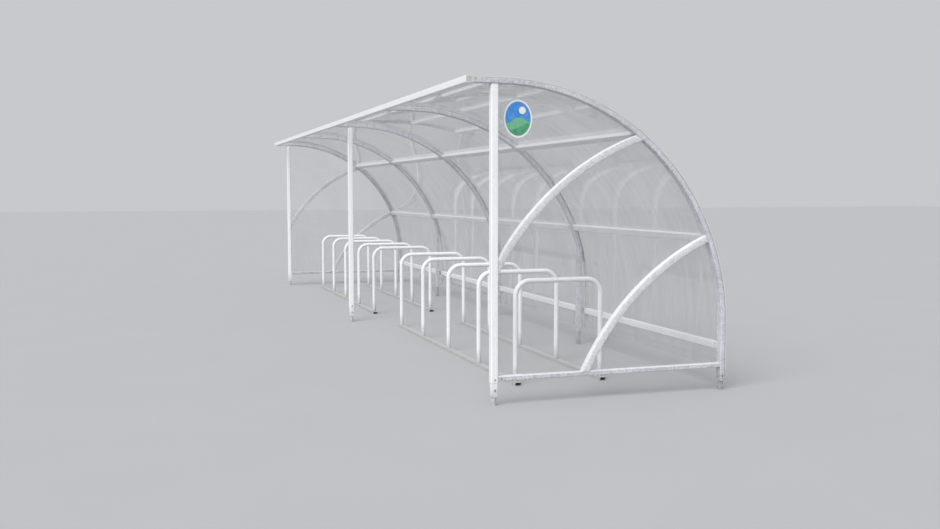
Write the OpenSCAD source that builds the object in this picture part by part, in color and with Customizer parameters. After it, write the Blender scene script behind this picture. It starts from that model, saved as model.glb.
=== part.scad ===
// Open-fronted cycle shelter: five rolled arches with curved clear sheets over two racks of hoops.
// Frame: X runs along the shelter, Y from the open front to the back, Z up from the ground.

/* [Frame] */
// Distance from one arch to the next
bay_length = 2300; // [1600:10:2600]
// Clear height under the arches at the front posts
clear_height = 2110; // [1900:5:2400]
// Radius of the outer face of the arch tube
arch_radius = 1681; // [1450:1:1750]
// Depth of the arch tube, measured along the radius
arch_depth = 35; // [28:1:60]
// Width of the arches along the shelter
arch_width = 60; // [50:1:80]
// Wall of the arch tubes
arch_wall = 3; // [2:0.5:5]
// Outside radius of the corners of the arch and leg tubes
arch_corner = 6; // [5:0.5:8]
// From the front posts back to the centre of the arch curve
curve_setback = 58; // [0:2:200]
// From the front posts forward to the front of the eave
eave_reach = 200; // [120:5:400]

/* [Eave beam] */
// Depth of the eave beam from front to back
eave_depth = 50; // [40:1:80]
// Height of the eave beam
eave_height = 45; // [38:1:60]
// Wall of the eave beam
eave_wall = 3; // [2:0.5:5]
// Outside radius of the corners of the eave beam
eave_corner = 4; // [3.5:0.5:8]
// Thickness of the plug in each end of the eave beam
eave_cap_thickness = 3; // [2:0.5:6]
// Depth of the plugs inside the ends of the eave beam
eave_cap_setback = 1; // [0:0.5:10]

/* [Posts and feet] */
// Side of the square front posts
post_size = 50; // [40:1:70]
// Wall of the front posts
post_wall = 4; // [3:0.5:5]
// Height of the lower end of the front posts above the ground
post_bottom = 155; // [130:5:160]
// Outside radius of the corners of the posts
post_corner = 8; // [6:0.5:10]
// Wall of the foot tubes
foot_wall = 3; // [2:0.5:4]
// Outside radius of the corners of the square foot tubes
foot_corner = 4; // [4:0.5:6]
// Height over which the square part of a front foot tapers to its spigot
foot_taper = 18; // [8:1:30]
// Height at which the square part of a front foot stops
foot_neck = 50; // [30:2:80]
// Diameter of the round spigot under a front foot
spigot_diameter = 34; // [26:1:36]
// Length of a foot inside the tube it slides into
foot_grip = 120; // [60:5:200]
// Clearance between a foot and the tube around it
foot_clearance = 0.3; // [0.2:0.1:0.6]
// Height of the lower end of the end arch legs above the ground
leg_bottom = 65; // [50:5:100]

/* [Inner rear legs] */
// Height of the top of the inner rear legs
inner_leg_top = 900; // [700:10:1000]
// Depth of the inner rear legs from front to back
inner_leg_depth = 40; // [30:1:60]
// Height of the lower end of the inner rear legs above the ground
inner_leg_bottom = 120; // [60:5:160]

/* [Rails and braces] */
// Height of the underside of the bottom rails
rail_bottom = 165; // [160:5:220]
// Height of a bottom rail section
rail_height = 30; // [25:1:50]
// Width of rails and braces along the shelter
rail_width = 50; // [30:1:50]
// Wall of rails and braces
rail_wall = 2.5; // [2:0.5:4]
// Outside radius of the corners of purlins and rails
tube_corner = 5; // [4:0.5:7]
// Length of the sleeve round the front end of a bottom rail
sleeve_length = 180; // [80:5:300]
// Wall of the rail sleeves
sleeve_wall = 2; // [1.5:0.5:3]
// Clearance between a rail and its sleeve
sleeve_clearance = 0.3; // [0.2:0.1:0.5]
// In-plane depth of the curved braces
brace_depth = 25; // [20:1:40]
// Radius of the upper braces on their centre line
upper_brace_radius = 1930; // [1700:10:2400]
// Radius of the lower braces on their centre line
lower_brace_radius = 1860; // [1700:10:2400]
// Height at which the upper brace meets the front post
upper_brace_foot = 918; // [700:2:1100]
// Distance from the front post to the foot of the lower brace
lower_brace_foot = 635; // [400:5:800]
// Angle round the arch from the top to the end of the upper brace
upper_brace_angle = 37.5; // [20:0.5:45]
// Angle round the arch from the top to the end of the lower brace
lower_brace_angle = 68; // [55:0.5:75]
// Angle round the arch from the top to the upper purlin
upper_purlin_angle = 36.5; // [20:0.5:45]
// Angle round the arch from the top to the middle purlin
middle_purlin_angle = 68; // [55:0.5:75]
// Height of the middle of the lower purlin
lower_purlin_height = 314; // [280:2:420]
// Height of the purlin section along the arch
purlin_height = 50; // [30:1:60]
// Wall of the purlins
purlin_wall = 2.5; // [2:0.5:4]

/* [Sheets] */
// Thickness of the clear sheets
sheet_thickness = 4; // [3:0.5:8]
// Height of the lower edge of the back sheets
sheet_bottom = 145; // [100:5:240]
// Gap between neighbouring roof sheets over an arch
sheet_gap = 4; // [2:1:10]
// Thickness of the cover strips over the sheet joints
strip_thickness = 3; // [2:0.5:5]
// Width by which an end panel laps the frame
panel_lap = 15; // [8:1:20]
// Clearance of an end panel round a purlin
panel_clearance = 3; // [1:0.5:8]

/* [Cycle racks] */
// Spacing of the hoops along a rack
hoop_pitch = 830; // [600:10:840]
// Outer diameter of the hoop tube
hoop_diameter = 38; // [32:1:50]
// Wall of the hoop tube
hoop_wall = 3; // [2:0.5:4]
// Distance between the legs of a hoop, centre to centre
hoop_depth = 680; // [500:10:800]
// Height of the top of the hoops above the ground
hoop_height = 780; // [650:10:900]
// Radius of the hoop bends on the centre line
hoop_bend = 110; // [80:5:160]
// From the front posts back to the front legs of the hoops
rack_setback = 400; // [200:10:500]
// Width of the channel under the hoop legs
channel_width = 50; // [40:1:80]
// Height of the channel under the hoop legs
channel_height = 25; // [15:1:40]
// Thickness of the channel metal
channel_wall = 3; // [2:0.5:5]
// Length of the channel past the end hoops
channel_end = 60; // [30:5:150]

/* [Hidden] */
$fn = 48;
// Facets of the large circles
curve_facets = 360;

weld_gap = 0.3;
past = 5;
bays = 4;
hoops_per_rack = 5;

end_x = bays / 2 * bay_length;
frame_end = end_x + arch_width / 2;
overall_depth = eave_reach + curve_setback + arch_radius + sheet_thickness + strip_thickness;
eave_front = -overall_depth / 2;
eave_back = eave_front + eave_depth;
sheet_front = eave_back + weld_gap;
post_y = eave_front + eave_reach;
curve_y = post_y + curve_setback;
curve_z = clear_height + arch_depth - arch_radius;
arch_inside = arch_radius - arch_depth;
leg_front = curve_y + arch_inside;
post_back = post_y + post_size / 2;
rail_top = rail_bottom + rail_height;

// Rear legs stand inside the sheet, so their back face is where the arch tube passes the leg top
inner_leg_back = curve_y + sqrt(pow(arch_radius, 2) - pow(inner_leg_top - curve_z, 2));

// Point on the arch curve at an angle from its top
function on_arch(angle, radius) = [curve_y + radius * sin(angle), curve_z + radius * cos(angle)];

// Centre of a circle through p and q that bulges to the upper left
function arc_centre(p, q, r) =
    let (m = (p + q) / 2, d = q - p, h = sqrt(r * r - d * d / 4), n = [d[1], -d[0]] / norm(d))
    m + h * n;

// Draws a profile in the plane across the shelter and gives it a width along the shelter
module across(x, width) {
    translate([x - width / 2, 0, 0]) rotate([90, 0, 90]) linear_extrude(width) children();
}

module rounded(width, depth, corner) {
    square([width - 2 * corner, depth], center = true);
    square([width, depth - 2 * corner], center = true);
    for (a = [-1, 1], b = [-1, 1])
        translate([a * (width / 2 - corner), b * (depth / 2 - corner)]) circle(corner);
}

// Cross-section of a rolled rectangular tube
module section(width, depth, wall, corner) {
    difference() {
        rounded(width, depth, corner);
        rounded(width - 2 * wall, depth - 2 * wall, corner - wall);
    }
}

// Quarter ring from the back round to the top, with straight ends to the front and downwards
module arch_profile(r_out, r_in, front, bottom) {
    intersection() {
        translate([curve_y, curve_z]) difference() {
            circle(r_out, $fn = curve_facets);
            circle(r_in, $fn = curve_facets);
        }
        translate([curve_y, curve_z]) square(r_out + past);
    }
    translate([front, curve_z + r_in]) square([curve_y - front, r_out - r_in]);
    translate([curve_y + r_in, bottom]) square([r_out - r_in, curve_z - bottom]);
}

// Rounded bar that follows the arch: level at the front, a quarter turn, then down to the bottom
module arch_bar(x, inset, front, bottom) {
    width = arch_width - 2 * inset;
    depth = arch_depth - 2 * inset;
    corner = arch_corner - inset;
    middle = arch_radius - arch_depth / 2;
    translate([x, curve_y, curve_z]) {
        translate([0, front - curve_y, middle]) rotate([-90, 0, 0])
            linear_extrude(curve_y - front) rounded(width, depth, corner);
        rotate([90, 0, 90]) rotate_extrude(angle = 90, $fn = curve_facets)
            translate([middle, 0]) rounded(depth, width, corner);
        translate([0, middle, bottom - curve_z])
            linear_extrude(curve_z - bottom) rounded(width, depth, corner);
    }
}

module arch_tube(x, bottom) {
    difference() {
        arch_bar(x, 0, eave_back, bottom);
        arch_bar(x, arch_wall, eave_back - past, bottom - past);
    }
}

module end_arch(side) {
    color("gainsboro") arch_tube(side * end_x, leg_bottom);
}

// Inner arches stop on the tops of their rear legs
module inner_arch(number) {
    color("gainsboro") difference() {
        arch_tube(inner_x(number), leg_bottom);
        translate([inner_x(number) - arch_width, curve_y, 0])
            cube([2 * arch_width, 2 * arch_radius, inner_leg_top]);
    }
}

function inner_x(number) = (2 - number) * bay_length;

module eave_beam() {
    color("white") across(0, 2 * frame_end)
        translate([eave_front + eave_depth / 2, clear_height + eave_height / 2])
            section(eave_depth, eave_height, eave_wall, eave_corner);
}

module eave_end_caps() {
    fit = eave_wall + weld_gap;
    color("gray") for (side = [-1, 1])
        across(side * (frame_end - eave_cap_thickness / 2 - eave_cap_setback), eave_cap_thickness)
            translate([eave_front + eave_depth / 2, clear_height + eave_height / 2])
                rounded(eave_depth - 2 * fit, eave_height - 2 * fit, eave_corner - eave_wall);
}

module front_post(x) {
    color("white") translate([x, post_y, post_bottom])
        linear_extrude(clear_height - post_bottom) section(post_size, post_size, post_wall, post_corner);
}

// Square tube inside the post, drawn in below to a round spigot
module front_foot(x) {
    size = post_size - 2 * post_wall - 2 * foot_clearance;
    top = post_bottom + foot_grip;
    color("lightgray") translate([x, post_y, 0]) {
        difference() {
            intersection() {
                translate([0, 0, foot_neck])
                    linear_extrude(top - foot_neck) rounded(size, size, foot_corner);
                union() {
                    translate([0, 0, foot_neck])
                        cylinder(h = foot_taper, d1 = spigot_diameter, d2 = size * sqrt(2));
                    translate([0, 0, foot_neck + foot_taper]) cylinder(h = top, d = size * sqrt(2));
                }
            }
            translate([0, 0, foot_neck + foot_taper]) linear_extrude(top)
                rounded(size - 2 * foot_wall, size - 2 * foot_wall, foot_corner - foot_wall);
        }
        difference() {
            cylinder(h = foot_neck, d = spigot_diameter);
            translate([0, 0, -past]) cylinder(h = foot_neck, d = spigot_diameter - 2 * foot_wall);
        }
    }
}

// Square tube that slides up into a leg of the given depth
module rear_foot(x, y, leg_depth, bottom_of_leg) {
    size = leg_depth - 2 * arch_wall - 2 * foot_clearance;
    color("lightgray") translate([x, y, 0])
        linear_extrude(bottom_of_leg + foot_grip) section(size, size, foot_wall, foot_corner);
}

module end_rear_foot(side) {
    rear_foot(side * end_x, leg_front + arch_depth / 2, arch_depth, leg_bottom);
}

module inner_rear_feet() {
    for (number = [1:3])
        rear_foot(inner_x(number), inner_leg_back - inner_leg_depth / 2, inner_leg_depth, inner_leg_bottom);
}

module rear_leg(number) {
    color("gainsboro") translate([inner_x(number), inner_leg_back - inner_leg_depth / 2, inner_leg_bottom])
        linear_extrude(inner_leg_top - inner_leg_bottom)
            section(arch_width, inner_leg_depth, arch_wall, arch_corner);
}

// One purlin section between two arches, square to the curve, with its outer edges just under the sheet
module purlin(x0, x1, angle, drop) {
    inner = sqrt(pow(arch_radius, 2) - pow(purlin_height / 2, 2)) - weld_gap - arch_depth;
    translate([0, curve_y, curve_z - drop]) rotate([-angle, 0, 0])
        across((x0 + x1) / 2, x1 - x0) translate([0, inner + arch_depth / 2])
            section(purlin_height, arch_depth, purlin_wall, tube_corner);
}

module purlin_row(angle, drop) {
    color("gainsboro") for (bay = [0:bays - 1]) {
        left = -end_x + bay * bay_length;
        purlin(left + arch_width / 2, left + bay_length - arch_width / 2, angle, drop);
    }
}

module upper_purlins() { purlin_row(upper_purlin_angle, 0); }
module middle_purlins() { purlin_row(middle_purlin_angle, 0); }
module lower_purlins() { purlin_row(90, curve_z - lower_purlin_height); }

// Level tube that runs from the back of an end post towards the back
module rail_tube(side, outset, wall, length) {
    color("gainsboro") translate([side * end_x, post_back, rail_bottom + rail_height / 2])
        rotate([-90, 0, 0]) linear_extrude(length)
            section(rail_width + 2 * outset, rail_height + 2 * outset, wall, tube_corner + outset);
}

module bottom_rail(side) { rail_tube(side, 0, rail_wall, leg_front - post_back); }
module rail_sleeve(side) { rail_tube(side, sleeve_clearance + sleeve_wall, sleeve_wall, sleeve_length); }

// Space inside an end frame, from the post to the arch and above the bottom rail
module frame_opening() {
    intersection() {
        translate([curve_y, curve_z]) circle(arch_inside - weld_gap, $fn = curve_facets);
        translate([post_back, rail_top]) square(2 * arch_radius);
    }
}

// Whole ring of rectangular bar round a point in the plane of an end frame
module ring_bar(side, centre, radius, inset) {
    translate([side * end_x, centre[0], centre[1]]) rotate([90, 0, 90])
        rotate_extrude($fn = curve_facets) translate([radius, 0])
            square([brace_depth - 2 * inset, rail_width - 2 * inset], center = true);
}

module brace(side, p, q, radius) {
    centre = arc_centre(p, q, radius);
    color("white") difference() {
        intersection() {
            ring_bar(side, centre, radius, 0);
            across(side * end_x, rail_width) frame_opening();
        }
        ring_bar(side, centre, radius, rail_wall);
    }
}

module upper_brace(side) {
    brace(side, [post_back, upper_brace_foot], on_arch(upper_brace_angle, arch_inside), upper_brace_radius);
}

module lower_brace(side) {
    brace(side, [post_back + lower_brace_foot, rail_top], on_arch(lower_brace_angle, arch_inside),
        lower_brace_radius);
}

module roof_sheet(number) {
    left = end_x - number * bay_length;
    outer_left = number == bays ? left - arch_width / 2 : left + sheet_gap / 2;
    outer_right = number == 1 ? left + bay_length + arch_width / 2 : left + bay_length - sheet_gap / 2;
    color("lightcyan", 0.4)
        across((outer_left + outer_right) / 2, outer_right - outer_left)
            arch_profile(arch_radius + sheet_thickness, arch_radius, sheet_front, sheet_bottom);
}

module cover_strips() {
    r = arch_radius + sheet_thickness;
    color("silver") for (number = [0:bays])
        across(-end_x + number * bay_length, arch_width)
            arch_profile(r + strip_thickness, r, sheet_front, sheet_bottom);
}

// Cut round a purlin in the profile of an end panel
module purlin_notch(angle, drop) {
    translate([curve_y, curve_z - drop]) rotate(-angle)
        translate([-purlin_height / 2 - panel_clearance, arch_inside - panel_clearance])
            square([purlin_height + 2 * panel_clearance, arch_depth * 2]);
}

module end_panel(side) {
    x = side * (end_x - arch_width / 2 - sheet_thickness / 2);
    color("lightcyan", 0.4) across(x, sheet_thickness) difference() {
        intersection() {
            union() {
                translate([curve_y, curve_z]) circle(arch_inside + panel_lap, $fn = curve_facets);
                translate([post_y, rail_bottom])
                    square([leg_front + panel_lap - post_y, curve_z - rail_bottom]);
            }
            translate([post_back - panel_lap, rail_top - panel_lap])
                square([leg_front + panel_lap - post_back + panel_lap, 2 * arch_radius]);
        }
        purlin_notch(upper_purlin_angle, 0);
        purlin_notch(middle_purlin_angle, 0);
        purlin_notch(90, curve_z - lower_purlin_height);
    }
}

// One hoop of round tube, standing on its two channels
module hoop(x) {
    centre_top = hoop_height - hoop_diameter / 2;
    front = post_y + rack_setback;
    straight = centre_top - hoop_bend - channel_height;
    translate([x, front, 0]) difference() {
        hoop_solid(hoop_diameter / 2, straight, channel_height, centre_top);
        hoop_solid(hoop_diameter / 2 - hoop_wall, straight + past, channel_height - past, centre_top);
    }
}

module hoop_solid(r, straight, bottom, centre_top) {
    for (y = [0, hoop_depth]) translate([0, y, bottom]) cylinder(h = straight, r = r);
    translate([0, hoop_bend, centre_top]) rotate([-90, 0, 0])
        cylinder(h = hoop_depth - 2 * hoop_bend, r = r);
    translate([0, hoop_bend, centre_top - hoop_bend]) rotate([90, 0, 90])
        rotate([0, 0, 90]) rotate_extrude(angle = 90) translate([hoop_bend, 0]) circle(r);
    translate([0, hoop_depth - hoop_bend, centre_top - hoop_bend]) rotate([90, 0, 90])
        rotate_extrude(angle = 90) translate([hoop_bend, 0]) circle(r);
}

function rack_x(side) = side * bay_length;

module rack_hoops(side) {
    color("lightgray") for (n = [0:hoops_per_rack - 1])
        hoop(rack_x(side) + (n - (hoops_per_rack - 1) / 2) * hoop_pitch);
}

module rack_channel(side, y) {
    length = (hoops_per_rack - 1) * hoop_pitch + 2 * channel_end;
    color("lightgray") translate([rack_x(side) - length / 2, post_y + rack_setback + y, 0]) difference() {
        translate([0, -channel_width / 2, 0]) cube([length, channel_width, channel_height]);
        translate([-past, -channel_width / 2 + channel_wall, -past])
            cube([length + 2 * past, channel_width - 2 * channel_wall,
                channel_height - channel_wall + past]);
    }
}

eave_beam();
eave_end_caps();
front_post(end_x);  // front_post_right
front_post(0);  // front_post_middle
front_post(-end_x);  // front_post_left
front_foot(end_x);  // front_foot_right
front_foot(0);  // front_foot_middle
front_foot(-end_x);  // front_foot_left
end_arch(1);  // end_arch_right
end_arch(-1);  // end_arch_left
inner_arch(1);  // inner_arch_1
inner_arch(2);  // inner_arch_2
inner_arch(3);  // inner_arch_3
rear_leg(1);  // rear_leg_1
rear_leg(2);  // rear_leg_2
rear_leg(3);  // rear_leg_3
end_rear_foot(1);  // rear_foot_right
end_rear_foot(-1);  // rear_foot_left
inner_rear_feet();
upper_purlins();
middle_purlins();
lower_purlins();
bottom_rail(1);  // bottom_rail_right
bottom_rail(-1);  // bottom_rail_left
rail_sleeve(1);  // rail_sleeve_right
rail_sleeve(-1);  // rail_sleeve_left
upper_brace(1);  // upper_brace_right
upper_brace(-1);  // upper_brace_left
lower_brace(1);  // lower_brace_right
lower_brace(-1);  // lower_brace_left
roof_sheet(1);  // roof_sheet_1
roof_sheet(2);  // roof_sheet_2
roof_sheet(3);  // roof_sheet_3
roof_sheet(4);  // roof_sheet_4
end_panel(1);  // end_panel_right
end_panel(-1);  // end_panel_left
cover_strips();
rack_hoops(1);  // rack_hoops_right
rack_hoops(-1);  // rack_hoops_left
rack_channel(1, 0);  // rack_front_channel_right
rack_channel(1, hoop_depth);  // rack_rear_channel_right
rack_channel(-1, 0);  // rack_front_channel_left
rack_channel(-1, hoop_depth);  // rack_rear_channel_left
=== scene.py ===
import math

import bmesh
import bpy
from mathutils import Matrix, Vector


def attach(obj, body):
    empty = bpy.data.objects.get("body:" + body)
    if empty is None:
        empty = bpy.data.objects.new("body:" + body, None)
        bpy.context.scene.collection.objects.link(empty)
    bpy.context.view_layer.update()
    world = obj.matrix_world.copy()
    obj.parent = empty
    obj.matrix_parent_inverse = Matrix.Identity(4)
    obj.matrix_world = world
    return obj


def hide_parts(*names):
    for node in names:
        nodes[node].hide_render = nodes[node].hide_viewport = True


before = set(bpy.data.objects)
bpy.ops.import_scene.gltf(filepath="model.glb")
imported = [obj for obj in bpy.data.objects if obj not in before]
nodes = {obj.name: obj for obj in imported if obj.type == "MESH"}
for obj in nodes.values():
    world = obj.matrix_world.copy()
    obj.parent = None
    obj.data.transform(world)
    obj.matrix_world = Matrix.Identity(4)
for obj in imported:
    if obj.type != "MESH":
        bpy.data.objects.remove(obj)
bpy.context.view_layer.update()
scene = bpy.context.scene

# Camera: stands beyond the right-hand end, a little in front of the open side, at chest height,
# and looks along the shelter with a normal lens held almost level.
camera_place = (10.793, -2.994, 1.407)
camera_yaw = 0.3208
camera_pitch = 0.0715
camera_roll = -0.0009
camera_data = bpy.data.cameras.new("camera")
camera_data.sensor_width = 36
camera_data.lens = 38.54
camera_data.clip_start = 0.1
camera_data.clip_end = 300
camera = bpy.data.objects.new("camera", camera_data)
scene.collection.objects.link(camera)
scene.camera = camera
forward = Vector((-math.cos(camera_yaw) * math.cos(camera_pitch),
                  math.sin(camera_yaw) * math.cos(camera_pitch),
                  -math.sin(camera_pitch)))
level_right = forward.cross(Vector((0, 0, 1))).normalized()
level_up = level_right.cross(forward)
turned_right = level_right * math.cos(camera_roll) + level_up * math.sin(camera_roll)
turned_up = level_up * math.cos(camera_roll) - level_right * math.sin(camera_roll)
camera.matrix_world = Matrix((
    (turned_right.x, turned_up.x, -forward.x, camera_place[0]),
    (turned_right.y, turned_up.y, -forward.y, camera_place[1]),
    (turned_right.z, turned_up.z, -forward.z, camera_place[2]),
    (0, 0, 0, 1)))

# View and background: plain display transform, and a sky dome whose light is soft and a little
# stronger from above the open side. The camera, mirrors and clear sheets see it as a pale wall.
wall_colour = (0.955, 0.97, 1.0, 1)
wall_strength = 0.60
sky_low = 0.30
sky_high = 0.80
sky_towards = (0.35, -0.65, 0.67)


def node(tree, kind, values=(), links=(), **settings):
    """Adds a shader node, sets its fields and sockets, and links outputs of others into it."""
    made = tree.nodes.new("ShaderNode" + kind)
    for field, value in settings.items():
        setattr(made, field, value)
    for socket, value in dict(values).items():
        made.inputs[socket].default_value = value
    for socket, output in dict(links).items():
        tree.links.new(output, made.inputs[socket])
    return made


def looked_at(tree):
    """1 where the camera, a mirror or a clear sheet looks, and 0 for the rays that only light things."""
    rays = node(tree, "LightPath").outputs
    mirrored = node(tree, "Math", links={0: rays["Is Camera Ray"], 1: rays["Is Glossy Ray"]},
                    operation="MAXIMUM")
    seen = node(tree, "Math", links={0: mirrored.outputs[0], 1: rays["Is Transmission Ray"]},
                operation="MAXIMUM")
    return seen.outputs[0]


scene.view_settings.view_transform = "Standard"
world = bpy.data.worlds.new("studio")
scene.world = world
world.use_nodes = True
sky = world.node_tree
direction = node(sky, "TexCoord")
lean = node(sky, "VectorMath", {1: sky_towards}, {0: direction.outputs["Generated"]},
            operation="DOT_PRODUCT")
dome = node(sky, "MapRange", {"From Min": -1.0, "To Min": sky_low, "To Max": sky_high},
            {"Value": lean.outputs["Value"]})
strength = node(sky, "MapRange", {"To Max": wall_strength},
                {"Value": looked_at(sky), "To Min": dome.outputs[0]})
background = sky.nodes["Background"]
background.inputs["Color"].default_value = wall_colour
sky.links.new(strength.outputs[0], background.inputs["Strength"])

# Lamp: one broad soft sun, high on the open side, so that tops and front faces are the palest. The
# clear sheets mirror the plain sky and not the lamp itself.
sun_towards = Vector((-0.50, 0.52, -0.69))
sun_data = bpy.data.lights.new("sun", "SUN")
sun_data.energy = 2.8
sun_data.angle = math.radians(50)
sun = bpy.data.objects.new("sun", sun_data)
sun.rotation_euler = sun_towards.to_track_quat("-Z", "Y").to_euler()
sun.visible_glossy = False
scene.collection.objects.link(sun)

# Floor: a wide plain pale ground that is not part of the shelter and only takes its shadow. It
# throws back a little less light than its seen colour would.
floor_half = 70


def new_material(name):
    """An empty material with its output node, ready for a shader."""
    material = bpy.data.materials.new(name)
    material.use_nodes = True
    material.node_tree.nodes.clear()
    output = node(material.node_tree, "OutputMaterial")
    return material, material.node_tree, output


floor_mesh = bpy.data.meshes.new("floor")
floor_shape = bmesh.new()
bmesh.ops.create_grid(floor_shape, x_segments=1, y_segments=1, size=floor_half)
floor_shape.to_mesh(floor_mesh)
floor_shape.free()
floor = bpy.data.objects.new("floor", floor_mesh)
scene.collection.objects.link(floor)
floor_material, tree, output = new_material("floor")
place = node(tree, "TexCoord")
grain = node(tree, "TexNoise", {"Scale": 1.3, "Detail": 5}, {"Vector": place.outputs["Object"]})
shade = node(tree, "MixRGB", {"Color1": (0.415, 0.42, 0.43, 1), "Color2": (0.435, 0.44, 0.45, 1)},
             {"Fac": grain.outputs["Fac"]})
shade = node(tree, "MixRGB", {"Color1": (0.29, 0.29, 0.295, 1)},
             {"Fac": looked_at(tree), "Color2": shade.outputs[0]})
shader = node(tree, "BsdfPrincipled", {"Roughness": 0.9}, {"Base Color": shade.outputs[0]})
tree.links.new(shader.outputs[0], output.inputs[0])
floor_mesh.materials.append(floor_material)

# Frame tubes: rolled arches, bottom rails with their sleeves, rear legs and rear feet, all of hot-dip
# galvanised steel, welded or drilled and bolted. The zinc has dulled outdoors to a mottled lavender
# grey, and rain has splashed dirt on it near the ground.
end_x = 4.6
arch_half_width = 0.030
leg_middle_y = 0.9485
leg_hole_z = 0.102
hole_radius = 0.0055


def galvanised(name, dark, light, roughness, metallic, painted_dark_holes=()):
    """Zinc coating: clouds, crystals and faint runs, upward faces painted paler as painted light from
    above, and splashed near the ground.
    """
    material, tree, output = new_material(name)
    coordinates = node(tree, "TexCoord")
    place = coordinates.outputs["Object"]
    clouds = node(tree, "TexNoise", {"Scale": 4.5, "Detail": 6, "Roughness": 0.62}, {"Vector": place})
    crystals = node(tree, "TexVoronoi", {"Scale": 95.0}, {"Vector": place})
    crystal_grey = node(tree, "RGBToBW", links={"Color": crystals.outputs["Color"]})
    stretched = node(tree, "Mapping", {"Scale": (42, 42, 1.8)}, {"Vector": place})
    runs = node(tree, "TexNoise", {"Scale": 1.0, "Detail": 4}, {"Vector": stretched.outputs[0]})
    with_crystals = node(tree, "MixRGB", {"Fac": 0.42},
                         {"Color1": clouds.outputs["Fac"], "Color2": crystal_grey.outputs[0]})
    with_runs = node(tree, "MixRGB", {"Fac": 0.28},
                     {"Color1": with_crystals.outputs[0], "Color2": runs.outputs["Fac"]})
    spread = node(tree, "MapRange", {"From Min": 0.35, "From Max": 0.63}, {"Value": with_runs.outputs[0]})
    dull = node(tree, "MixRGB", {"Color1": dark, "Color2": light}, {"Fac": spread.outputs[0]})
    # Painted light: faces that turn upwards are mixed towards a pale grey, as if lit from above.
    turned = node(tree, "SeparateXYZ", links={0: coordinates.outputs["Normal"]})
    painted_top_light = node(tree, "MapRange", {"From Min": 0.3, "From Max": 0.8, "To Max": 0.7},
                  {"Value": turned.outputs["Z"]})
    zinc_with_painted_top_light = node(tree, "MixRGB", {"Color2": (0.92, 0.925, 0.94, 1)},
                {"Fac": painted_top_light.outputs[0], "Color1": dull.outputs[0]})
    height = node(tree, "SeparateXYZ", links={0: place})
    low_down = node(tree, "MapRange", {"From Min": 0.02, "From Max": 0.15, "To Min": 0.8, "To Max": 0.0},
                    {"Value": height.outputs["Z"]})
    spots = node(tree, "TexNoise", {"Scale": 110, "Detail": 6, "Roughness": 0.7}, {"Vector": place})
    patchy = node(tree, "MapRange", {"From Min": 0.2, "From Max": 0.62}, {"Value": spots.outputs["Fac"]})
    splash = node(tree, "Math", links={0: low_down.outputs[0], 1: patchy.outputs[0]}, operation="MULTIPLY")
    colour = node(tree, "MixRGB", {"Color2": (0.20, 0.175, 0.145, 1)},
                  {"Fac": splash.outputs[0], "Color1": zinc_with_painted_top_light.outputs[0]})
    # Painted shade: each drilled hole is a black disc in the colour, standing in for the dark inside of the
    # hole.
    for hole in painted_dark_holes:
        away = node(tree, "VectorMath", {1: hole}, {0: place}, operation="DISTANCE")
        inside = node(tree, "Math", {1: hole_radius}, {0: away.outputs["Value"]}, operation="LESS_THAN")
        colour = node(tree, "MixRGB", {"Color2": (0.015, 0.015, 0.016, 1)},
                      {"Fac": inside.outputs[0], "Color1": colour.outputs[0]})
    gloss = node(tree, "MapRange", {"To Min": roughness + 0.1, "To Max": roughness - 0.08},
                 {"Value": spread.outputs[0]})
    bump = node(tree, "Bump", {"Strength": 0.15, "Distance": 0.002}, {"Height": with_runs.outputs[0]})
    shader = node(tree, "BsdfPrincipled", {"Metallic": metallic},
                  {"Base Color": colour.outputs[0], "Roughness": gloss.outputs[0],
                   "Normal": bump.outputs[0]})
    tree.links.new(shader.outputs[0], output.inputs[0])
    return material


def coat(beginnings, material):
    """Gives the material to every CAD node whose name starts in one of these ways."""
    for name in nodes:
        if name.startswith(beginnings):
            for slot in nodes[name].material_slots:
                slot.material = material


# The empty bolt holes in the outer sides of the end rear legs, painted black by the coat as painted shade.
painted_dark_leg_holes = [(side * (end_x + arch_half_width), leg_middle_y, leg_hole_z) for side in (1, -1)]
frame_zinc = galvanised("frame_zinc", (0.50, 0.505, 0.54, 1), (0.74, 0.745, 0.79, 1), 0.42, 0.25, painted_dark_leg_holes)
coat(("end_arch", "inner_arch", "rear_", "inner_rear", "bottom_rail", "rail_sleeve"), frame_zinc)

# Posts, their feet and the eave beam: square tube, round foot tubes and a flat tube of the same
# steel, cut and drilled before dipping, so that the coat came out smoother and paler.
pale_zinc = galvanised("pale_zinc", (0.87, 0.875, 0.89, 1), (0.945, 0.95, 0.96, 1), 0.42, 0.1)
coat(("front_post", "front_foot", "eave_beam"), pale_zinc)

# Purlins: lengths of galvanised steel tube, one in each bay, fixed between the arches with screws.
# Their zinc is given paler than the arches', which is painted light for the strong light from above on
# them.
purlin_zinc_painted_lit = galvanised("purlin_zinc_painted_lit", (0.78, 0.785, 0.815, 1), (0.92, 0.925, 0.95, 1), 0.42, 0.15)
coat(("upper_purlins", "middle_purlins", "lower_purlins"), purlin_zinc_painted_lit)

# Racks: hoops bent from round steel tube and welded down on two open channels, then galvanised as
# one. Years of use have rubbed the zinc to a satin finish.
rack_zinc = galvanised("rack_zinc", (0.84, 0.85, 0.87, 1), (0.94, 0.945, 0.96, 1), 0.38, 0.15)
coat("rack_", rack_zinc)


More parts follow.
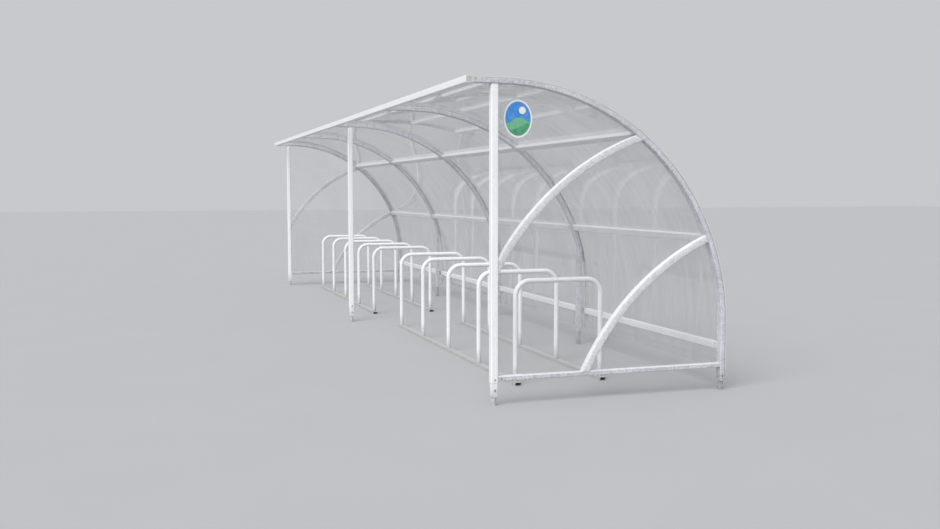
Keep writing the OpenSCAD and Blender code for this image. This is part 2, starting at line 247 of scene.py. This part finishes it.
# Sheets and end panels: clear glossy plastic sheet, cut to size, curved cold over the arches or
# screwed flat inside the end frames. Its cut edges are pale, and dust and water marks lie on it.
def clear(name, thin_film, thick_film, edge_test):
    """Clear sheet: mirrors by its angle, carries a film of dust, and shows pale where it was cut."""
    material, tree, output = new_material(name)
    place = node(tree, "TexCoord")
    haze = node(tree, "TexNoise", {"Scale": 2.0, "Detail": 6, "Roughness": 0.68},
                {"Vector": place.outputs["Object"]})
    drip_place = node(tree, "Mapping", {"Scale": (16, 2.2, 1.1)}, {"Vector": place.outputs["Object"]})
    drips = node(tree, "TexNoise", {"Scale": 1.0, "Detail": 5}, {"Vector": drip_place.outputs[0]})
    dirt = node(tree, "MixRGB", {"Fac": 0.5},
                {"Color1": haze.outputs["Fac"], "Color2": drips.outputs["Fac"]})
    seen_film = node(tree, "MapRange", {"From Min": 0.36, "From Max": 0.68, "To Min": thin_film,
                                        "To Max": thick_film}, {"Value": dirt.outputs[0]})
    rays = node(tree, "LightPath").outputs
    lighting = node(tree, "Math", links={0: rays["Is Shadow Ray"], 1: rays["Is Diffuse Ray"]},
                    operation="MAXIMUM")
    kept_back = node(tree, "MapRange", {"To Min": 1.0, "To Max": 0.2}, {"Value": lighting.outputs[0]})
    film = node(tree, "Math", links={0: seen_film.outputs[0], 1: kept_back.outputs[0]},
                operation="MULTIPLY")
    turned = node(tree, "SeparateXYZ", links={0: place.outputs["Normal"]})
    facing = node(tree, "Math", links={0: turned.outputs["X"]}, operation="ABSOLUTE")
    edge = node(tree, "Math", {1: 0.5}, {0: facing.outputs[0]}, operation=edge_test)
    veil = node(tree, "MixRGB", {"Color2": (0.8, 0.8, 0.8, 1)},
                {"Fac": edge.outputs[0], "Color1": film.outputs[0]})
    grazing = node(tree, "LayerWeight", {"Blend": 0.5})
    steep = node(tree, "Math", {1: 5.0}, {0: grazing.outputs["Facing"]}, operation="POWER")
    mirror = node(tree, "Math", {1: 0.96, 2: 0.04}, {0: steep.outputs[0]}, operation="MULTIPLY_ADD")
    solid = node(tree, "MixRGB", {"Color2": (1, 1, 1, 1)},
                 {"Fac": veil.outputs[0], "Color1": mirror.outputs[0]})
    mirror_share = node(tree, "Math", links={0: mirror.outputs[0], 1: solid.outputs[0]},
                        operation="DIVIDE")
    dust = node(tree, "MixRGB", {"Color1": (0.30, 0.315, 0.32, 1), "Color2": (0.17, 0.175, 0.17, 1)},
                {"Fac": dirt.outputs[0]})
    cut = node(tree, "MixRGB", {"Color2": (0.74, 0.84, 0.81, 1)},
               {"Fac": edge.outputs[0], "Color1": dust.outputs[0]})
    colour = node(tree, "MixRGB", {"Color2": (0.96, 0.97, 0.98, 1)},
                  {"Fac": mirror_share.outputs[0], "Color1": cut.outputs[0]})
    shader = node(tree, "BsdfPrincipled", {"Roughness": 0.025, "IOR": 1.49},
                  {"Base Color": colour.outputs[0], "Metallic": mirror_share.outputs[0],
                   "Alpha": solid.outputs[0]})
    tree.links.new(shader.outputs[0], output.inputs[0])
    return material


roof_clear = clear("roof_clear", 0.05, 0.15, "GREATER_THAN")
panel_clear = clear("panel_clear", 0.03, 0.08, "LESS_THAN")
coat("roof_sheet", roof_clear)
coat("end_panel", panel_clear)


# Plugs: moulded plastic plugs pushed into the two ends of the eave beam. They have bleached in the
# sun, and dust lies on them.
def grained(name, grain, dark, light, roughness):
    """A plain soft stuff such as plastic, rubber or sealant, whose colour a fine grain varies."""
    material, tree, output = new_material(name)
    place = node(tree, "TexCoord")
    specks = node(tree, "TexNoise", {"Scale": grain, "Detail": 4}, {"Vector": place.outputs["Object"]})
    colour = node(tree, "MixRGB", {"Color1": dark, "Color2": light}, {"Fac": specks.outputs["Fac"]})
    shader = node(tree, "BsdfPrincipled", {"Roughness": roughness}, {"Base Color": colour.outputs[0]})
    tree.links.new(shader.outputs[0], output.inputs[0])
    return material


plug_plastic = grained("plug_plastic", 60, (0.34, 0.33, 0.29, 1), (0.72, 0.70, 0.64, 1), 0.7)
coat("eave_end_caps", plug_plastic)

# Bolts: zinc-plated hexagon heads on washers, put through the feet, the posts, the rail sleeves and
# the rear legs. Those at the two ends stand a little lower.
fixing_zinc = galvanised("fixing_zinc", (0.34, 0.34, 0.35, 1), (0.58, 0.58, 0.58, 1), 0.36, 0.7)
bay = 2.3
arch_places = (end_x, bay, 0.0, -bay, -end_x)
inner_places = arch_places[1:4]
post_y = -0.773
post_half = 0.025
foot_half = 0.0207
sleeve_half = 0.0273
bolt_y = post_y + 0.003
post_bolt_z = 0.174
foot_bolt_z = 0.103
sleeve_bolt_y = post_y + 0.048
rail_middle = 0.18
end_leg_front = 0.931
inner_leg_front = 0.8685
inner_leg_bolt_z = 0.16
bolt_washer = 0.008
bolt_head = 0.0058
bolt_height = 0.006
end_post_bolt_height = 0.0045
end_foot_bolt_height = 0.0055
sleeve_bolt = (0.0075, 0.0055, 0.0025)
washer_share = 0.28
washer_taper = 0.95
head_taper = 0.86
sharp_angle = math.radians(35)


def add_bolt(shape, place, axis, washer, head, height, sides=6):
    """Adds a washer and a head, given by their radii, that stand up from a face along an axis."""
    washer_height = height * washer_share
    base = Matrix.Translation(place) @ Vector(axis).to_track_quat("Z", "Y").to_matrix().to_4x4()
    bmesh.ops.create_cone(shape, cap_ends=True, segments=16, radius1=washer, radius2=washer * washer_taper,
                          depth=washer_height, matrix=base @ Matrix.Translation((0, 0, washer_height / 2)))
    middle = washer_height + (height - washer_height) / 2
    bmesh.ops.create_cone(shape, cap_ends=True, segments=sides, radius1=head, radius2=head * head_taper,
                          depth=height - washer_height, matrix=base @ Matrix.Translation((0, 0, middle)))


def finish_piece(name, shape, material):
    """Makes a named piece of a bmesh, shades it smooth up to an angle and lets it ride with the shelter."""
    bmesh.ops.recalc_face_normals(shape, faces=shape.faces)
    mesh = bpy.data.meshes.new(name)
    shape.to_mesh(mesh)
    shape.free()
    mesh.materials.append(material)
    for face in mesh.polygons:
        face.use_smooth = True
    mesh.set_sharp_from_angle(angle=sharp_angle)
    piece = bpy.data.objects.new(name, mesh)
    scene.collection.objects.link(piece)
    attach(piece, "root")
    return piece


shape = bmesh.new()
for side in (1, -1):
    outside = (side, 0, 0)
    add_bolt(shape, (side * (end_x + post_half), bolt_y, post_bolt_z), outside,
             bolt_washer, bolt_head, end_post_bolt_height)
    add_bolt(shape, (side * (end_x + foot_half), bolt_y, foot_bolt_z), outside,
             bolt_washer, bolt_head, end_foot_bolt_height)
    add_bolt(shape, (side * (end_x + sleeve_half), sleeve_bolt_y, rail_middle), outside, *sleeve_bolt)
    add_bolt(shape, (side * end_x, end_leg_front, leg_hole_z), (0, -1, 0),
             bolt_washer, bolt_head, bolt_height)
add_bolt(shape, (post_half, bolt_y, post_bolt_z), (1, 0, 0), bolt_washer, bolt_head, bolt_height)
add_bolt(shape, (foot_half, bolt_y, foot_bolt_z), (1, 0, 0), bolt_washer, bolt_head, bolt_height)
for x in inner_places:
    add_bolt(shape, (x, inner_leg_front, inner_leg_bolt_z), (0, -1, 0), bolt_washer, bolt_head, bolt_height)
finish_piece("foot_bolts", shape, fixing_zinc)

# Purlin ends: small pressed steel plates that close the open ends of the lower purlins on both sides
# of each inner rear leg. They are galvanised with the purlins.
plate_size = (0.002, 0.0306, 0.0456)
plate_bevel = 0.0006
plate_offset = 0.0316
lower_purlin_y = 0.948
lower_purlin_z = 0.314
shape = bmesh.new()
for x in inner_places:
    for side in (1, -1):
        plate = bmesh.ops.create_cube(shape, size=1)["verts"]
        bmesh.ops.scale(shape, vec=plate_size, verts=plate)
        bmesh.ops.translate(shape, vec=(x + side * plate_offset, lower_purlin_y, lower_purlin_z),
                            verts=plate)
bmesh.ops.bevel(shape, geom=shape.edges[:], offset=plate_bevel, segments=2, profile=0.5,
                affect="EDGES", material=-1)
finish_piece("purlin_end_plates", shape, purlin_zinc_painted_lit)

# Purlin screws: two zinc-plated button heads on the inner face of each purlin end, turned into a
# spigot on the arch. The arches bend round one line along the shelter, at curve_y and curve_z.
curve_y = -0.715
curve_z = 0.464
arch_outside = 1.681
arch_inside = 1.646
purlin_turns = (36.5, 68.0)
purlin_half = 0.025
purlin_depth = 0.035
purlin_gap = 0.0003
purlin_inside = math.sqrt(arch_outside ** 2 - purlin_half ** 2) - purlin_gap - purlin_depth
screw_inset = 0.018
screw_rows = (-0.013, 0.013)
button_screw = (0.0065, 0.0052, 0.004, 12)


def on_curve(degrees, radius, x=0.0):
    """A point of the curve, in degrees from the top towards the back."""
    turn = math.radians(degrees)
    return Vector((x, curve_y + radius * math.sin(turn), curve_z + radius * math.cos(turn)))


def outward(degrees):
    """The direction that points away from the middle of the curve."""
    turn = math.radians(degrees)
    return Vector((0, math.sin(turn), math.cos(turn)))


shape = bmesh.new()
both_sides = [x + side * (arch_half_width + screw_inset) for x in arch_places for side in (1, -1)]
screw_places = [x for x in both_sides if abs(x) < end_x]
for degrees in purlin_turns:
    turn = math.radians(degrees)
    along = Vector((0, math.cos(turn), -math.sin(turn)))
    for x in screw_places:
        for row in screw_rows:
            add_bolt(shape, on_curve(degrees, purlin_inside, x) + along * row, -outward(degrees),
                     *button_screw)
for x in screw_places:
    for row in screw_rows:
        add_bolt(shape, (x, curve_y + arch_inside, lower_purlin_z + row), (0, -1, 0), *button_screw)
finish_piece("purlin_screws", shape, fixing_zinc)

# Sheet screws: zinc-plated self-drilling screws on rubber sealing washers, driven through the sheets
# into the purlins. The lowest row has flatter heads.
sheet_outside = 1.685
bays = 4
screws_per_bay = 5
sheet_screw = (0.0085, 0.0045, 0.0038)
flat_screw = (0.0085, 0.0045, 0.0028)
seal_washer = (0.0100, 0.0090, 0.0010, 12)
shape = bmesh.new()
seal_shape = bmesh.new()
for number in range(bays):
    for step in range(screws_per_bay):
        x = -end_x + number * bay + bay * (step + 0.5) / screws_per_bay
        for degrees in purlin_turns:
            place = on_curve(degrees, sheet_outside, x)
            add_bolt(shape, place, outward(degrees), *sheet_screw)
            add_bolt(seal_shape, place, outward(degrees), *seal_washer)
        place = (x, curve_y + sheet_outside, lower_purlin_z)
        add_bolt(shape, place, (0, 1, 0), *flat_screw)
        add_bolt(seal_shape, place, (0, 1, 0), *seal_washer)
finish_piece("sheet_screws", shape, fixing_zinc)
rubber = grained("rubber", 45, (0.025, 0.025, 0.027, 1), (0.075, 0.075, 0.078, 1), 0.75)
finish_piece("sealing_washers", seal_shape, rubber)

# Cover strips: flat aluminium strips with rounded edges, bent over the joints of the sheets and
# screwed down along their middle.
strip_width = 0.060
strip_thickness = 0.0024
strip_corner = 0.001
sheet_bottom = 0.145
sheet_front = -0.9227
strip_screw = (0.0085, 0.0045, 0.0040)
strip_screw_turns = range(5, 83, 11)


def bend_strip(shape, x):
    """Adds a strip over an arch: up from the lower edge, a quarter turn, then forward to the eave."""
    corners = bmesh.ops.create_grid(shape, x_segments=1, y_segments=1, size=0.5)["verts"]
    bmesh.ops.scale(shape, vec=(strip_width, strip_thickness, 1), verts=corners)
    bmesh.ops.translate(shape, vec=(x, curve_y + sheet_outside + strip_thickness / 2, sheet_bottom),
                        verts=corners)
    bmesh.ops.bevel(shape, geom=corners, offset=strip_corner, segments=2, profile=0.5,
                    affect="VERTICES", clamp_overlap=True, material=-1)
    section = [face for face in shape.faces if len(face.edges[0].link_faces) == 1]
    raised = bmesh.ops.extrude_face_region(shape, geom=section, use_keep_orig=True)["geom"]
    bmesh.ops.translate(shape, vec=(0, 0, curve_z - sheet_bottom),
                        verts=[item for item in raised if isinstance(item, bmesh.types.BMVert)])
    turned = bmesh.ops.spin(shape, geom=raised, axis=(1, 0, 0), cent=(0, curve_y, curve_z),
                            angle=math.radians(90), steps=40, use_merge=False,
                            use_duplicate=False)["geom_last"]
    top_end = [item for item in turned if isinstance(item, bmesh.types.BMFace)]
    led = bmesh.ops.extrude_face_region(shape, geom=top_end, use_keep_orig=True)["geom"]
    bmesh.ops.translate(shape, vec=(0, sheet_front - curve_y, 0),
                        verts=[item for item in led if isinstance(item, bmesh.types.BMVert)])
    inner = [face for face in shape.faces if all(len(edge.link_faces) > 2 for edge in face.edges)]
    bmesh.ops.delete(shape, geom=inner, context="FACES_ONLY")


strip_aluminium = galvanised("strip_aluminium", (0.72, 0.73, 0.75, 1), (0.84, 0.85, 0.86, 1), 0.34, 0.3)
shape = bmesh.new()
for x in arch_places:
    bend_strip(shape, x)
strips = finish_piece("pressed_strips", shape, strip_aluminium)
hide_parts("cover_strips")
shape = bmesh.new()
for x in arch_places:
    for degrees in strip_screw_turns:
        add_bolt(shape, on_curve(degrees, sheet_outside + strip_thickness, x), outward(degrees),
                 *strip_screw)
finish_piece("strip_screws", shape, fixing_zinc)

# Braces: square steel tube with rounded corners, bent to a curve, its ends cut to the post, the
# rail and the arch and welded there.
rail_top = 0.195
post_back = post_y + post_half
brace_size = 0.050
brace_corner = 0.006
brace_spare = math.radians(2)
upper_start = Vector((0, post_back, 0.918))
upper_turn = 37.1
upper_bend = 1.93
lower_start = Vector((0, post_back + 0.635, rail_top))
lower_turn = 68.0
lower_bend = 1.86
joint_edges = []


def add_part(shape, part):
    """Moves everything in one bmesh into another."""
    mesh = bpy.data.meshes.new("part")
    part.to_mesh(mesh)
    part.free()
    shape.from_mesh(mesh)
    bpy.data.meshes.remove(mesh)


def bent_tube(shape, x, start, end, radius, cuts):
    """Adds a tube bent on a circle from end to start, trims it with planes and notes the cut edges."""
    across = end - start
    reach = math.sqrt(radius ** 2 - across.length_squared / 4)
    centre = (start + end) / 2 + Vector((0, across.z, -across.y)).normalized() * reach
    first = math.atan2(end.z - centre.z, end.y - centre.y) - brace_spare
    last = math.atan2(start.z - centre.z, start.y - centre.y) + brace_spare
    bar = bmesh.new()
    corners = bmesh.ops.create_grid(bar, x_segments=1, y_segments=1, size=0.5)["verts"]
    bmesh.ops.scale(bar, vec=(brace_size, brace_size, 1), verts=corners)
    bmesh.ops.bevel(bar, geom=corners, offset=brace_corner, segments=3, profile=0.5,
                    affect="VERTICES", clamp_overlap=True, material=-1)
    bmesh.ops.translate(bar, vec=(x, radius, 0), verts=bar.verts)
    bmesh.ops.rotate(bar, cent=(0, 0, 0), matrix=Matrix.Rotation(first, 3, "X"), verts=bar.verts)
    bmesh.ops.translate(bar, vec=(0, centre.y, centre.z), verts=bar.verts)
    bmesh.ops.spin(bar, geom=bar.faces[:] + bar.edges[:] + bar.verts[:], axis=(1, 0, 0), cent=centre,
                   angle=last - first, steps=36, use_merge=False, use_duplicate=False)
    for point, away in cuts:
        cut = bmesh.ops.bisect_plane(bar, geom=bar.faces[:] + bar.edges[:] + bar.verts[:],
                                     plane_co=point, plane_no=away, clear_outer=True)["geom_cut"]
        edges = [item for item in cut if isinstance(item, bmesh.types.BMEdge)]
        bmesh.ops.holes_fill(bar, edges=edges, sides=0)
        joint_edges.extend((edge.verts[0].co.copy(), edge.verts[1].co.copy()) for edge in edges)
    add_part(shape, bar)


shape = bmesh.new()
upper_end = on_curve(upper_turn, arch_inside)
lower_end = on_curve(lower_turn, arch_inside)
for x in (end_x, -end_x):
    bent_tube(shape, x, upper_start, upper_end, upper_bend,
              ((upper_start, Vector((0, -1, 0))), (upper_end, outward(upper_turn))))
    bent_tube(shape, x, lower_start, lower_end, lower_bend,
              ((lower_start, Vector((0, 0, -1))), (lower_end, outward(lower_turn))))
brace_zinc = galvanised("brace_zinc", (0.60, 0.605, 0.635, 1), (0.82, 0.825, 0.855, 1), 0.42, 0.2)
braces = finish_piece("bent_braces", shape, brace_zinc)
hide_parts("upper_brace_right", "upper_brace_left", "lower_brace_right", "lower_brace_left")

# Welds: thin rippled beads, galvanised over, round the ends of the braces, the rails, the posts and
# the rear legs, along the eave joints, and round the feet of the hoops.
weld_zinc = galvanised("weld_zinc", (0.50, 0.51, 0.535, 1), (0.72, 0.73, 0.76, 1), 0.5, 0.25)
bead_pitch = 0.0042
bead_radius = 0.0027
clear_height = 2.110
eave_back = -0.923
eave_weld_half = 0.028
eave_weld_height = 0.034
rail_bottom = 0.165
leg_weld_turns = (74.8, 75.7, 76.6, 77.5, 78.4, 79.3)
leg_weld_step = 0.9
hoops_in_rack = 5
hoop_pitch = 0.83
hoop_feet_y = (-0.373, 0.307)
hoop_radius = 0.019
channel_top = 0.025
beads_round_hoop = 28


def add_beads(shape, places):
    """Puts a small round bead at each place."""
    row = bmesh.new()
    for place in places:
        bead = bmesh.ops.create_uvsphere(row, u_segments=8, v_segments=5, radius=bead_radius)["verts"]
        bmesh.ops.translate(row, vec=place, verts=bead)
    add_part(shape, row)


def add_weld(shape, start, end):
    """Lays a row of overlapping beads along a straight joint."""
    count = max(1, round((end - start).length / bead_pitch))
    add_beads(shape, [start.lerp(end, (number + 0.5) / count) for number in range(count)])


def add_weld_box(shape, low, high):
    """Lays a weld round a rectangle that is flat in one direction."""
    flat = min(range(3), key=lambda axis: high[axis] - low[axis])
    first, second = [axis for axis in range(3) if axis != flat]
    ring = []
    for a, b in ((low, low), (high, low), (high, high), (low, high)):
        point = Vector(low)
        point[first] = a[first]
        point[second] = b[second]
        ring.append(point)
    for number in range(4):
        add_weld(shape, ring[number], ring[(number + 1) % 4])


shape = bmesh.new()
for start, end in joint_edges:
    add_weld(shape, start, end)
for x in (end_x, 0.0, -end_x):
    add_weld_box(shape, (x - post_half, post_y - post_half, clear_height),
                 (x + post_half, post_y + post_half, clear_height))
for x in (end_x, -end_x):
    add_weld_box(shape, (x - post_half, end_leg_front, rail_bottom),
                 (x + post_half, end_leg_front, rail_top))
for x in arch_places:
    add_weld(shape, Vector((x - eave_weld_half, eave_back, clear_height)),
             Vector((x + eave_weld_half, eave_back, clear_height)))
for x in inner_places:
    for side in (1, -1):
        face = x + side * arch_half_width
        add_weld(shape, Vector((face, eave_back, clear_height)),
                 Vector((face, eave_back, clear_height + eave_weld_height)))
        for degrees in leg_weld_turns:
            add_weld(shape, on_curve(degrees, arch_inside, face),
                     on_curve(degrees + leg_weld_step, arch_inside, face))
finish_piece("frame_welds", shape, weld_zinc)
shape = bmesh.new()
turns = [Matrix.Rotation(math.tau * step / beads_round_hoop, 3, "Z") for step in range(beads_round_hoop)]
for side in (1, -1):
    for number in range(hoops_in_rack):
        x = side * bay + (number - (hoops_in_rack - 1) / 2) * hoop_pitch
        for y in hoop_feet_y:
            foot = Vector((x, y, channel_top))
            add_beads(shape, [foot + turn @ Vector((hoop_radius, 0, 0)) for turn in turns])
finish_piece("rack_welds", shape, weld_zinc)

# End panel screws: zinc-plated pan heads on washers that hold each clear end panel to the inner side
# of its arch, post, rail and rear leg, along the narrow lap at its edge.
panel_face_x = 4.566
panel_lap = 0.0075
pan_screw = (0.0065, 0.0045, 0.0035, 10)
arch_screw_turns = range(4, 86, 9)
post_screw_heights = (0.24, 0.55, 0.86, 1.17, 1.48, 1.79, 2.06)
rail_screw_places = (-0.45, -0.15, 0.15, 0.45, 0.75)
leg_screw_z = 0.33
shape = bmesh.new()
for side in (1, -1):
    face = side * panel_face_x
    inside = (-side, 0, 0)
    for degrees in arch_screw_turns:
        add_bolt(shape, on_curve(degrees, arch_inside + panel_lap, face), inside, *pan_screw)
    for z in post_screw_heights:
        add_bolt(shape, (face, post_back - panel_lap, z), inside, *pan_screw)
    for y in rail_screw_places:
        add_bolt(shape, (face, y, rail_top - panel_lap), inside, *pan_screw)
    add_bolt(shape, (face, end_leg_front + panel_lap, leg_screw_z), inside, *pan_screw)
finish_piece("panel_screws", shape, fixing_zinc)

# Eave seal: a bead of grey sealant smoothed by hand along the front edge of the sheets, where they
# meet the eave beam. It runs between the cover strips.
seal_radius = 0.0026
seal_gap = 0.0305
seal_length = bay - 2 * seal_gap
seal_y = sheet_front + 0.0012
seal_z = 2.1492
seal_ripples = ((0.0006, 37.0), (0.0004, 91.0))
shape = bmesh.new()
for number in range(bays):
    left = -end_x + bay * number + seal_gap
    ring = bmesh.ops.create_cone(shape, cap_ends=True, segments=8, radius1=seal_radius, radius2=seal_radius,
                                 depth=seal_length)["verts"]
    long_edges = list({edge for vert in ring for edge in vert.link_edges if edge.calc_length() > 1})
    bmesh.ops.subdivide_edges(shape, edges=long_edges, cuts=60, use_grid_fill=True)
    bead = list({vert for vert in shape.verts if abs(vert.co.x) < 0.01 and abs(vert.co.y) < 0.01})
    bmesh.ops.rotate(shape, cent=(0, 0, 0), matrix=Matrix.Rotation(math.pi / 2, 3, "Y"), verts=bead)
    bmesh.ops.translate(shape, vec=(left + seal_length / 2, seal_y, seal_z), verts=bead)
for vert in shape.verts:
    vert.co.z += sum(size * math.sin(vert.co.x * rate) for size, rate in seal_ripples)
sealant = grained("sealant", 30, (0.30, 0.31, 0.31, 1), (0.52, 0.53, 0.53, 1), 0.5)
finish_piece("eave_seal", shape, sealant)

# Emblem: a printed vinyl label on the outside of the near end panel, with a plain design of a sun
# over two hills, slightly raised and a little faded.
emblem_x = 4.5701
emblem_y = -0.593
emblem_z = 1.89
emblem_width = 0.20
emblem_height = 0.25
emblem_thickness = 0.0004
sun_across = 0.030
sun_up = 0.055
sun_radius = 0.024
border_from = 0.80
shape = bmesh.new()
outline = bmesh.ops.create_circle(shape, cap_ends=True, segments=72, radius=0.5)["verts"]
bmesh.ops.rotate(shape, cent=(0, 0, 0), matrix=Matrix.Rotation(math.pi / 2, 3, "Y"), verts=outline)
bmesh.ops.scale(shape, vec=(1, emblem_width, emblem_height), verts=outline)
bmesh.ops.translate(shape, vec=(emblem_x, emblem_y, emblem_z), verts=outline)
raised = bmesh.ops.extrude_face_region(shape, geom=shape.faces[:], use_keep_orig=True)["geom"]
bmesh.ops.translate(shape, vec=(emblem_thickness, 0, 0),
                    verts=[item for item in raised if isinstance(item, bmesh.types.BMVert)])
label, tree, output = new_material("label")
place = node(tree, "TexCoord").outputs["Object"]
flat_place = node(tree, "SeparateXYZ", links={0: place})
across = node(tree, "Math", {1: emblem_y}, {0: flat_place.outputs["Y"]}, operation="SUBTRACT")
up = node(tree, "Math", {1: emblem_z}, {0: flat_place.outputs["Z"]}, operation="SUBTRACT")
far_hill = ((0.10, 0.44, 0.22, 1), 30.0, 1.2, 0.020, -0.012)
near_hill = ((0.03, 0.30, 0.13, 1), 22.0, -0.4, 0.022, -0.050)
colour = None
for tint, wave, offset, size, level in (far_hill, near_hill):
    turned = node(tree, "Math", {1: wave, 2: offset}, {0: across.outputs[0]}, operation="MULTIPLY_ADD")
    rolled = node(tree, "Math", links={0: turned.outputs[0]}, operation="SINE")
    line = node(tree, "Math", {1: size, 2: level}, {0: rolled.outputs[0]}, operation="MULTIPLY_ADD")
    below = node(tree, "Math", links={0: up.outputs[0], 1: line.outputs[0]}, operation="LESS_THAN")
    mixed = node(tree, "MixRGB", {"Color1": (0.02, 0.24, 0.68, 1), "Color2": tint},
                 {"Fac": below.outputs[0]})
    if colour is not None:
        tree.links.new(colour.outputs[0], mixed.inputs["Color1"])
    colour = mixed
sun_place = (emblem_x + emblem_thickness, emblem_y + sun_across, emblem_z + sun_up)
from_sun = node(tree, "VectorMath", {1: sun_place}, {0: place}, operation="DISTANCE")
in_sun = node(tree, "Math", {1: sun_radius}, {0: from_sun.outputs["Value"]}, operation="LESS_THAN")
colour = node(tree, "MixRGB", {"Color2": (0.84, 0.86, 0.86, 1)},
              {"Fac": in_sun.outputs[0], "Color1": colour.outputs[0]})
wide = node(tree, "Math", {1: 2 / emblem_width}, {0: across.outputs[0]}, operation="MULTIPLY")
tall = node(tree, "Math", {1: 2 / emblem_height}, {0: up.outputs[0]}, operation="MULTIPLY")
wide_square = node(tree, "Math", links={0: wide.outputs[0], 1: wide.outputs[0]}, operation="MULTIPLY")
round_square = node(tree, "Math", links={0: tall.outputs[0], 1: tall.outputs[0], 2: wide_square.outputs[0]},
                    operation="MULTIPLY_ADD")
in_border = node(tree, "Math", {1: border_from}, {0: round_square.outputs[0]}, operation="GREATER_THAN")
colour = node(tree, "MixRGB", {"Color2": (0.80, 0.83, 0.82, 1)},
              {"Fac": in_border.outputs[0], "Color1": colour.outputs[0]})
fade = node(tree, "TexNoise", {"Scale": 55, "Detail": 5}, {"Vector": place})
faded = node(tree, "MapRange", {"From Min": 0.35, "From Max": 0.75, "To Max": 0.22},
             {"Value": fade.outputs["Fac"]})
colour = node(tree, "MixRGB", {"Color2": (0.66, 0.68, 0.68, 1)},
              {"Fac": faded.outputs[0], "Color1": colour.outputs[0]})
shader = node(tree, "BsdfPrincipled", {"Roughness": 0.32}, {"Base Color": colour.outputs[0]})
tree.links.new(shader.outputs[0], output.inputs[0])
finish_piece("round_label", shape, label)

bpy.context.view_layer.update()
